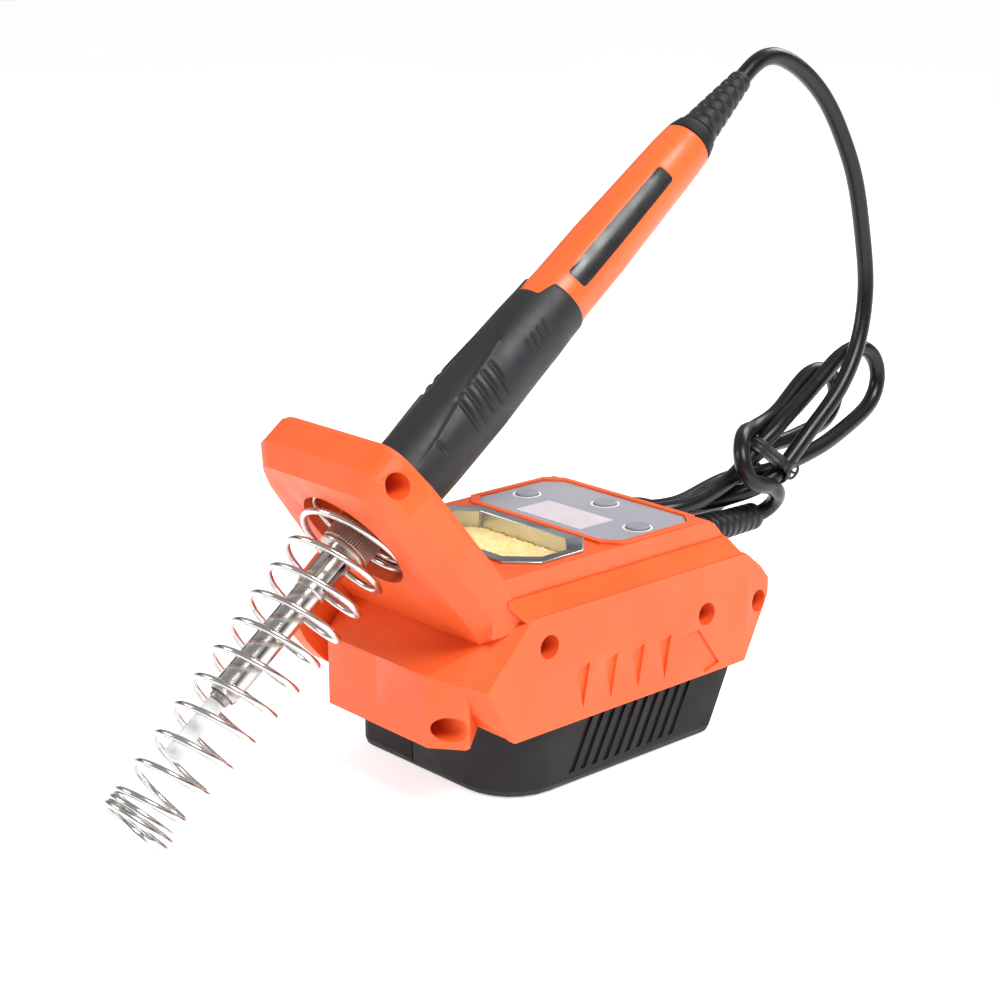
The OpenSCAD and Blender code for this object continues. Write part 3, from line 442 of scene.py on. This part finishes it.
# %% Housing and pack
rounded("housing_left", "case_left", orange_abs, 0.5)
rounded("housing_right", "case_right", orange_abs, 0.5)
rounded("pack_lower_shell", "pack_base", black_nylon, 0.35)
rounded("pack_upper_shell", "pack_lid", black_nylon, 0.35)
rounded("pack_latch", "pack_catch", latch_red, 0.6)
rounded("sponge_tray", "tray", tin_plate, 0.35)
for key in ("left", "middle", "right"):
    rounded("button_" + key, "key_" + key, button_pc, 0.35, 3)

# %% [markdown]
# The stand is one drawn wire, coiled: a wide close seat in the plate, open turns that taper and
# hang a little under their own weight, and close turns at the free end. A helix gives it, with
# the radius and the run down the axis as functions of the number of turns.

# %% Spring stand
WIRE_R, SEAT_TURNS, OPEN_TURNS, END_TURNS = 1.1, 1.25, 10.5, 2.75
turns = np.linspace(0, SEAT_TURNS + OPEN_TURNS + END_TURNS, 870)
open_turns = np.clip(turns - SEAT_TURNS, 0, OPEN_TURNS)
down = 2.32 * np.minimum(turns, SEAT_TURNS) + 10.1 * open_turns \
    + 2.32 * np.maximum(turns - SEAT_TURNS - OPEN_TURNS, 0)
down = np.convolve(np.pad(down, 12, "edge"), np.ones(25) / 25, "valid")
wide = np.interp(open_turns, [0, 1, OPEN_TURNS], [18.6, 17.0, 12.2]) - WIRE_R
turn_angle = 2 * math.pi * turns + math.radians(200)
DROOP = math.radians(3.6)
x, y, z = wide * np.cos(turn_angle), wide * np.sin(turn_angle), -down
spring_path = on_iron(x, 0.4 + y * math.cos(DROOP) + z * math.sin(DROOP),
                      -28.2 - y * math.sin(DROOP) + z * math.cos(DROOP))
ends = np.minimum(np.arange(len(turns)), np.arange(len(turns))[::-1])
spring = tube("spring", spring_path, WIRE_R * np.clip(0.45 + ends * 0.3, 0, 1), 12)
finish_piece(spring, nickel_wire, "station", "stand_spring")

# %% [markdown]
# The grip is a soft sleeve moulded over the handle. Its skin is a radius that depends on the
# place along the iron and the angle round it: a slow swell, a facet on each side, five
# lens-shaped grooves for the fingers, and short lines near its top.

# %% Grip sleeve
def bell(d, width):
    """A smooth bump: one at zero, falling to nothing at about twice the width."""
    return np.exp(-(d / width) ** 2)


GRIP_FRONT, GRIP_REAR = -23.0, 72.4
u = np.linspace(0, 1, 300)[:, None]
a = np.radians(np.linspace(-180, 180, 220, endpoint=False))[None, :]
# degrees up from the side, alike on both sides of the middle plane: 90 is the top
deg = np.degrees(np.arcsin(np.sin(a)))
# the rear edge is a lobe: straight round the sides, with a tongue of orange along the top
lobe = np.clip((deg - 54) / 15, 0, 1)
rear = GRIP_REAR - 6.3 * lobe ** 2 * (3 - 2 * lobe)
t = GRIP_FRONT + (rear - GRIP_FRONT) * u
skin = np.interp(t, [-23.3, -22, -6, 4, 28, 44, 58, 66, 73],
                 [11.6, 12.2, 13.2, 13.45, 13.45, 12.8, 12.5, 12.1, 11.95])
for k in range(5):
    reach = np.clip(1 - ((deg - 28) / 27) ** 2, 0, 1)
    groove = np.clip(1 - np.abs(t - (18 + 4.15 * k + 0.05 * (deg - 28))) / 1.6, 0, 1)
    skin = skin - 1.15 * reach ** 0.5 * np.sin(groove * math.pi / 2) ** 2
for k in range(4):
    reach = np.clip(1 - ((deg - 22) / 13) ** 2, 0, 1)
    skin = skin - 0.6 * reach * bell(t - (48.5 + 3 * k + 0.04 * deg), 0.7)
dash = np.clip(1 - ((deg - 26) / 12) ** 2, 0, 1)
skin = skin - 0.7 * dash * bell(t - 3.5, 0.8)
# a facet: the skin steps down across a slanting line on each side
line = deg - np.interp(t, [-10, 5, 17, 32, 46], [34, 39, 48, 57, 66])
facet = 1 / (1 + np.exp(-line / 1.2)) * np.clip((t + 12) / 12, 0, 1) \
    * np.clip((48 - t) / 12, 0, 1)
skin = skin - 0.55 * facet + 0.25 * bell(line, 3) * np.clip((t + 8) / 10, 0, 1) * (t < 44)
skin = skin - 0.25 * bell(deg + 52, 1.6)
skin = skin - 0.45 * np.clip((u - 0.985) / 0.015, 0, 1) ** 2
outer = on_iron(skin * np.cos(a), skin * np.sin(a), t)
ends_t = np.concatenate([rear + 0.02, GRIP_FRONT + 0 * a])
inner = on_iron(10.5 * np.cos(a) + 0 * ends_t, 10.5 * np.sin(a) + 0 * ends_t, ends_t)
grip = ringed("grip", np.concatenate([outer, inner]), loop=True, smooth_angle=60)
finish_piece(grip, grip_tpe, "iron", "grip_sleeve")

# %% [markdown]
# The handle tapers in one smooth line to a black collar and a ribbed boot. Both are turned
# profiles: the handle's is a cubic-smooth curve, and the boot's is a row of rounded ribs.

# %% Handle, collar and boots
def eased(knots, values, t):
    """Linear steps softened by a moving average of their neighbours, so no crease shows."""
    fine = np.interp(t, knots, values)
    return np.convolve(np.pad(fine, 6, "edge"), np.ones(13) / 13, "valid")


t = np.linspace(77.0, 149.2, 150)
r = eased([77, 98, 121.5, 142, 146, 150], [11.2, 11.0, 10.2, 9.6, 9.35, 8.9], t)
body = [(10.3, -22.5), (10.35, 63.0), (11.3, 64.2), (11.4, 70), (11.25, 76.0)] + list(zip(r, t)) \
    + [(8.5, 149.9), (6.5, 150.0), (6.5, 144), (7.4, 141), (7.4, -22.5)]
finish_piece(turned("handle", body, 128, loop=True), handle_abs, "iron", "handle_shell")
finish_piece(turned("collar", [(5.2, 150.0), (8.5, 150.05), (8.85, 150.5), (8.7, 151.4),
                               (7.7, 155.0), (7.3, 155.5), (5.2, 155.5)], 96, loop=True),
             black_nylon, "iron", "rear_collar")


# The bare label lies in a shallow raised pad: a patch of the handle's surface with round corners
lo_t, hi_t, lo_a, hi_a = 78.2, 130.8, 13.5, 51.5


def rounded_outline(half_l, half_w, corner, count):
    """A rectangle with quarter-circle corners, walked in even steps: (along, across) in mm."""
    w = np.linspace(0, 2 * math.pi, 121)[:-1] + 0.01
    p = np.stack([np.sign(np.cos(w)) * (half_l - corner) + corner * np.cos(w),
                  np.sign(np.sin(w)) * (half_w - corner) + corner * np.sin(w)], 1)
    p = np.vstack([p, p[:1]])
    run = np.concatenate([[0], np.cumsum(np.linalg.norm(np.diff(p, axis=0), axis=1))])
    q = np.linspace(0, run[-1], count, endpoint=False)
    return np.interp(q, run, p[:, 0]), np.interp(q, run, p[:, 1])


LABEL_R = 10.9
half_len, half_arc = (hi_t - lo_t) / 2, math.radians(hi_a - lo_a) / 2 * LABEL_R
for label_name, grow, lift, sunk, finish, stands_for in (
        ("label_pad", 0.7, 0.2, 0.3, handle_abs, ()),
        ("label", 0.0, 0.32, 0.2, label_film, ("label_plate",))):
    along, over = rounded_outline(half_len + grow, half_arc + grow, 1.4 + grow, 260)
    # the underside grows from the middle out, then the rim, then the top comes back in
    s = np.array([0.03, 0.5, 0.99, 1.0, 1.0, 0.985, 0.75, 0.5, 0.25, 0.03])[:, None]
    rise = np.array([-sunk] * 4 + [lift - 0.08] + [lift] * 5)[:, None]
    lt = (lo_t + hi_t) / 2 + s * along
    la = math.radians((lo_a + hi_a) / 2) + s * over / LABEL_R
    lr = np.interp(lt, t, r) + rise
    patch = ringed(label_name, on_iron(lr * np.cos(la), lr * np.sin(la), lt), smooth_angle=50)
    finish_piece(patch, finish, "iron", *stands_for)


def boot_profile(start_at, length, r0, r1, ribs, bore):
    """Ribs as a rounded wave on a cone, the flanks steep and the valleys narrow."""
    s = np.linspace(0, 1, ribs * 14 + 1)
    wave = 0.5 + 0.5 * np.cos(2 * math.pi * ribs * (s - 0.5 / ribs * 0.9))
    cone = r0 + (r1 - r0) * s
    r = cone - 1.15 * (1 - np.clip(wave * 1.9, 0, 1) ** 0.8) * (0.55 + 0.45 * (1 - s))
    return [(bore, start_at)] + list(zip(r, start_at + length * s)) + [(bore, start_at + length)]


BOOT_BORE = 3.02
finish_piece(turned("cord_boot", boot_profile(155.5, 29, 6.9, 3.8, 7, BOOT_BORE), 72, loop=True),
             boot_rubber, "iron", "iron_boot")
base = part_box("base_boot")
root_r = (base[1].x - base[0].x) / MM / 2
base_length = (base[1].y - base[0].y) / MM
p = np.array(boot_profile(base[0].y / MM, base_length, root_r, root_r - 0.7, 13, BOOT_BORE))
a = np.linspace(0, 2 * math.pi, 72, endpoint=False)
rings = np.stack([p[:, :1] * np.cos(a), p[:, 1:] + 0 * a, BOOT_Z + p[:, :1] * np.sin(a)], -1)
finish_piece(ringed("base_cord_boot", rings, loop=True), boot_rubber, "station", "base_boot")

# %% [markdown]
# The nut has a straight knurl rolled into its rim: 54 fine ridges along the axis. A sine of the
# angle cuts them into the radius, and a plain collar and a soft edge bound them.

# %% Nut, tip and cap
t = np.concatenate([[-39.95], np.linspace(-39.9, -28.1, 60), [-28.05]])[:, None]
a = np.linspace(0, 2 * math.pi, 432, endpoint=False)[None, :]
cut = np.abs(np.sin((54 * a + 0.12 * t) / 2))
zone = np.clip((t + 37.9) / 0.3, 0, 1) * np.clip((-29.1 - t) / 0.3, 0, 1)
r = 8.25 - 0.55 * (1 - cut ** 0.7) * zone - 0.35 * bell(t + 38.2, 0.25) \
    - 0.4 * bell(t + 28.1, 0.3) - 0.3 * bell(t + 39.95, 0.25)
nut_outer = on_iron(r * np.cos(a), r * np.sin(a), t + 0 * a)
bore = on_iron(np.array([[6.45], [6.45], [5.2], [5.2]]) * np.cos(a),
               np.array([[6.45], [6.45], [5.2], [5.2]]) * np.sin(a),
               np.array([[-28.05], [-39.1], [-39.12], [-39.95]]) + 0 * a)
nut = ringed("knurled_nut", np.concatenate([nut_outer, bore]), loop=True, smooth_angle=30)
finish_piece(nut, nut_steel, "nut", "barrel_nut")

tip = [(0.2, -116.9), (0.4, -116.6), (2.3, -102.5), (2.3, -99.6), (3.2, -99.0), (3.3, -98.4),
       (3.3, -96.4), (4.05, -96), (4.05, -74), (2.0, -74), (2.0, -94), (0.2, -94.1)]
finish_piece(turned("tip", tip, 72), tip_plated, "iron", "soldering_tip")
cap = [(1.9, -121), (2.5, -120.8), (2.78, -120.2), (2.8, -99.7), (2.4, -99.7), (2.4, -103.4),
       (1.0, -117.5), (0.2, -117.6)]
finish_piece(turned("cap", cap, 72), cap_clear, "cap", "tip_cap")

# %% [markdown]
# The sponge is cut cellulose, dry and slightly crowned. Its outline shrinks towards the middle
# on top and rounds over at the rim, and a sum of a few waves makes the cut face uneven.

# %% Sponge
lo, hi = (np.array(c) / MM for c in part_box("sponge"))
mid, half = (lo + hi) / 2, (hi - lo) / 2
a = np.linspace(0, 2 * math.pi, 200, endpoint=False)
cut_corner = 8.6
edge = np.minimum(np.minimum(half[0] / np.maximum(np.abs(np.cos(a)), 1e-6),
                             half[1] / np.maximum(np.abs(np.sin(a)), 1e-6)),
                  (half[0] + half[1] - cut_corner) / (np.abs(np.cos(a)) + np.abs(np.sin(a))))
edge = np.convolve(np.pad(edge, 2, "wrap"), np.ones(5) / 5, "valid")
height = hi[2] - lo[2]
rows = [(0.25, 0), (0.6, 0), (0.9, 0), (0.985, 0.02), (1.0, 0.15), (1.0, 0.5), (1.0, 0.8),
        (0.99, 0.93), (0.965, 1.0)] + [(s, 1.0) for s in np.linspace(0.93, 0.04, 26)]
rows = np.array(rows)
px = mid[0] + edge * rows[:, :1] * np.cos(a)
py = mid[1] + edge * rows[:, :1] * np.sin(a)
pz = lo[2] + height * rows[:, 1:] + 0 * a
uneven = 0.22 * (np.sin(px * 0.9 + 1) * np.sin(py * 1.1) + np.sin(px * 2.3 + py * 1.7)
                 + 0.7 * np.sin(px * 3.9 - py * 3.1))
pz = pz + np.where(rows[:, 1:] > 0.9, 0.35 * (1 - rows[:, :1] ** 2) + uneven * 0.6, 0)
sponge = ringed("sponge_pad", np.stack([px, py, pz], -1), smooth_angle=70)
finish_piece(sponge, sponge_cellulose, "sponge_pad", "sponge")

# %% [markdown]
# Each push button stands in a white ring printed on the panel: a very flat washer here, so
# that it stays a real surface and doesn't slide about as a picture would.

# %% Printed rings
for key in ("left", "middle", "right"):
    lo, hi = (np.array(c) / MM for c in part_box("button_" + key))
    cx, cy, top = (lo[0] + hi[0]) / 2, (lo[1] + hi[1]) / 2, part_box("control_panel")[1].z / MM
    p = np.array([(4.35, top - 0.1), (4.35, top + 0.05), (5.05, top + 0.05), (5.05, top - 0.1)])
    a = np.linspace(0, 2 * math.pi, 72, endpoint=False)
    rings = np.stack([cx + p[:, :1] * np.cos(a), cy + p[:, :1] * np.sin(a), p[:, 1:] + 0 * a], -1)
    finish_piece(ringed("print_ring_" + key, rings, loop=True), print_white, "station")

# %% [markdown]
# A paper-thin wire in black vinyl, wound twice round the hank and twisted: it is what holds a
# new tool's cord in its box.

# %% Tie
tie_mid = np.array([-1.0, 116.5, 80.0])
hank_dir = unit(np.array([0, 0.8, 0.6]))
hank_up = np.cross(SIDE, hank_dir)
turn = np.linspace(0, 1.7 * 2 * math.pi, 160)
away = np.cos(turn)[:, None] * SIDE + np.sin(turn)[:, None] * hank_up
near = cord_path[np.abs((cord_path - tie_mid) @ hank_dir) < 2.0]
near = near[np.linalg.norm(near - tie_mid, axis=1) < 10]
hold = ((near - tie_mid) @ away.T).max(0) + CORD_D / 2 + 0.7
hold = np.convolve(np.pad(hold, 5, "edge"), np.ones(11) / 11, "valid") + 0.5 * turn / turn[-1]
tie_path = tie_mid + hold[:, None] * away + (turn / (2 * math.pi) * 1.6 - 1.4)[:, None] * hank_dir
print("strands in the tie", len(near), "radius", round(float(hold.mean()), 1))
# the band's section: millimetres along the hank and outwards, with the wire as a ridge
section = np.array([[-1.9, -0.25], [-1.9, 0.3], [-0.6, 0.3], [0, 0.75], [0.6, 0.3],
                    [1.9, 0.3], [1.9, -0.25], [0, -0.3]])
band = ringed("tie", tie_path[:, None] + section[None, :, :1] * hank_dir
              + section[None, :, 1:] * away[:, None], smooth_angle=40)
knot = tie_path[-1]
end_steps = np.array([(0, 0, 0), (2, -3, -1), (5, -8, 0), (8, -14, 1), (9, -20, 1)])
straight = smooth_route(knot + end_steps, 1.0)
finish_piece(tube("tie_end", straight, 0.6, 8), boot_rubber, "station")
w = np.linspace(-0.5, 2 * math.pi, 40)
loop = np.stack([0.2 * np.sin(w), np.cos(w), np.sin(w)], 1)
curl = tie_path[0] + np.array([4.0, 4, -3]) + 3.0 * loop
curl = smooth_route(np.vstack([tie_path[0], curl]), 0.8)
finish_piece(tube("tie_curl", curl, 0.55, 8), boot_rubber, "station")
finish_piece(band, boot_rubber, "station", "cord_tie")

# %% Cord: its finish, in place of the solids
finish_piece(cord, cord_rubber, None, "cord_arch", "cord_hank", "cord_tail")
boot_end = on_iron(0.0, 0.0, 184.5) * MM
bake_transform(cord)

# %% [markdown]
# The solids that stay keep their own shape and take the finish of their material slot.

# %% Finishes for the remaining solids
finishes = {
    "housing_plastic": orange_abs, "handle_plastic": handle_abs, "black_plastic": black_nylon,
    "grip_rubber": grip_tpe, "cord_rubber": boot_rubber, "spring_steel": nickel_wire,
    "screw_steel": screw_zinc, "nut_steel": nut_steel, "barrel_steel": steel_polished,
    "tip_plate": tip_plated, "tray_tin": tin_plate, "panel_sheet": panel_film,
    "window_clear": window_clear, "button_plastic": button_pc, "board_laminate": board_green,
    "ceramic": fired_alumina, "contact_brass": brass_sheet, "cell_can": cell_wrap,
    "latch_plastic": latch_red, "cap_clear": cap_clear, "label_film": label_film,
    "sponge_cellulose": sponge_cellulose}
for name, node in nodes.items():
    if not node.hide_render:
        for k in range(max(1, len(node.material_slots))):
            if not node.material_slots:
                node.data.materials.append(finishes[slot_of[name]])
            node.material_slots[k].material = finishes[slot_of[name]]

# %% [markdown]
# ## Studio
# A pale floor that reaches well past the view, a bright even world, and three soft lights: a
# key from the upper right, a fill from the front left and one behind for the edges.

# %% Floor and light
def area(name, place, aim, size, power):
    lamp = bpy.data.lights.new(name, "AREA")
    lamp.shape, lamp.size, lamp.energy = "DISK", size, power
    light = bpy.data.objects.new(name, lamp)
    light.location = place
    way = np.array(aim, float) - np.array(place, float)
    light.rotation_euler = Vector(way).to_track_quat("-Z", "Y").to_euler()
    bpy.context.scene.collection.objects.link(light)


floor_mesh = bpy.data.meshes.new("floor")
REACH = 6.0
floor_mesh.from_pydata([(-REACH, -REACH, 0), (REACH, -REACH, 0), (REACH, REACH, 0),
                        (-REACH, REACH, 0)], [], [(0, 1, 2, 3)])
floor = bpy.data.objects.new("floor", floor_mesh)
bpy.context.scene.collection.objects.link(floor)
floor_paper, ft, fb, fp = start("floor_paper_matt", "F4F4F4", 0.9)
mottle(ft, fb, fp, 400, linear("F2F2F2"), linear("F6F6F6"))
fb.inputs["Emission Color"].default_value = (1, 1, 1, 1)
fb.inputs["Emission Strength"].default_value = 0.62
floor.data.materials.append(floor_paper)

area("key", (0.75, -0.1, 1.15), (0, 0, 0.08), 0.6, 16)
area("front", (-0.7, -1.0, 0.75), (0, 0, 0.08), 0.5, 5)
area("back", (-0.2, 1.2, 1.0), (0, 0.05, 0.1), 0.8, 9)
world = bpy.data.worlds.new("studio")
bpy.context.scene.world = world
world.use_nodes = True
sky = world.node_tree.nodes["Background"]
# bright at the horizon and darker overhead, with two soft dark bands for the plated wire to show
heading = add(world.node_tree, "TexCoord").outputs["Generated"]
split = add(world.node_tree, "SeparateXYZ", {"Vector": heading})
bands = add(world.node_tree, "ValToRGB", {"Fac": split.outputs["Z"]})
bands.color_ramp.elements[0].position, bands.color_ramp.elements[0].color = 0.0, grey(0.95)
bands.color_ramp.elements[1].position, bands.color_ramp.elements[1].color = 1.0, grey(0.42)
for where, tone in ((0.12, 0.9), (0.24, 0.12), (0.42, 0.12), (0.52, 0.8), (0.8, 0.5)):
    bands.color_ramp.elements.new(where).color = grey(tone)
world.node_tree.links.new(bands.outputs["Color"], sky.inputs["Color"])
sky.inputs["Strength"].default_value = 0.8
bpy.context.scene.view_settings.view_transform = "Standard"
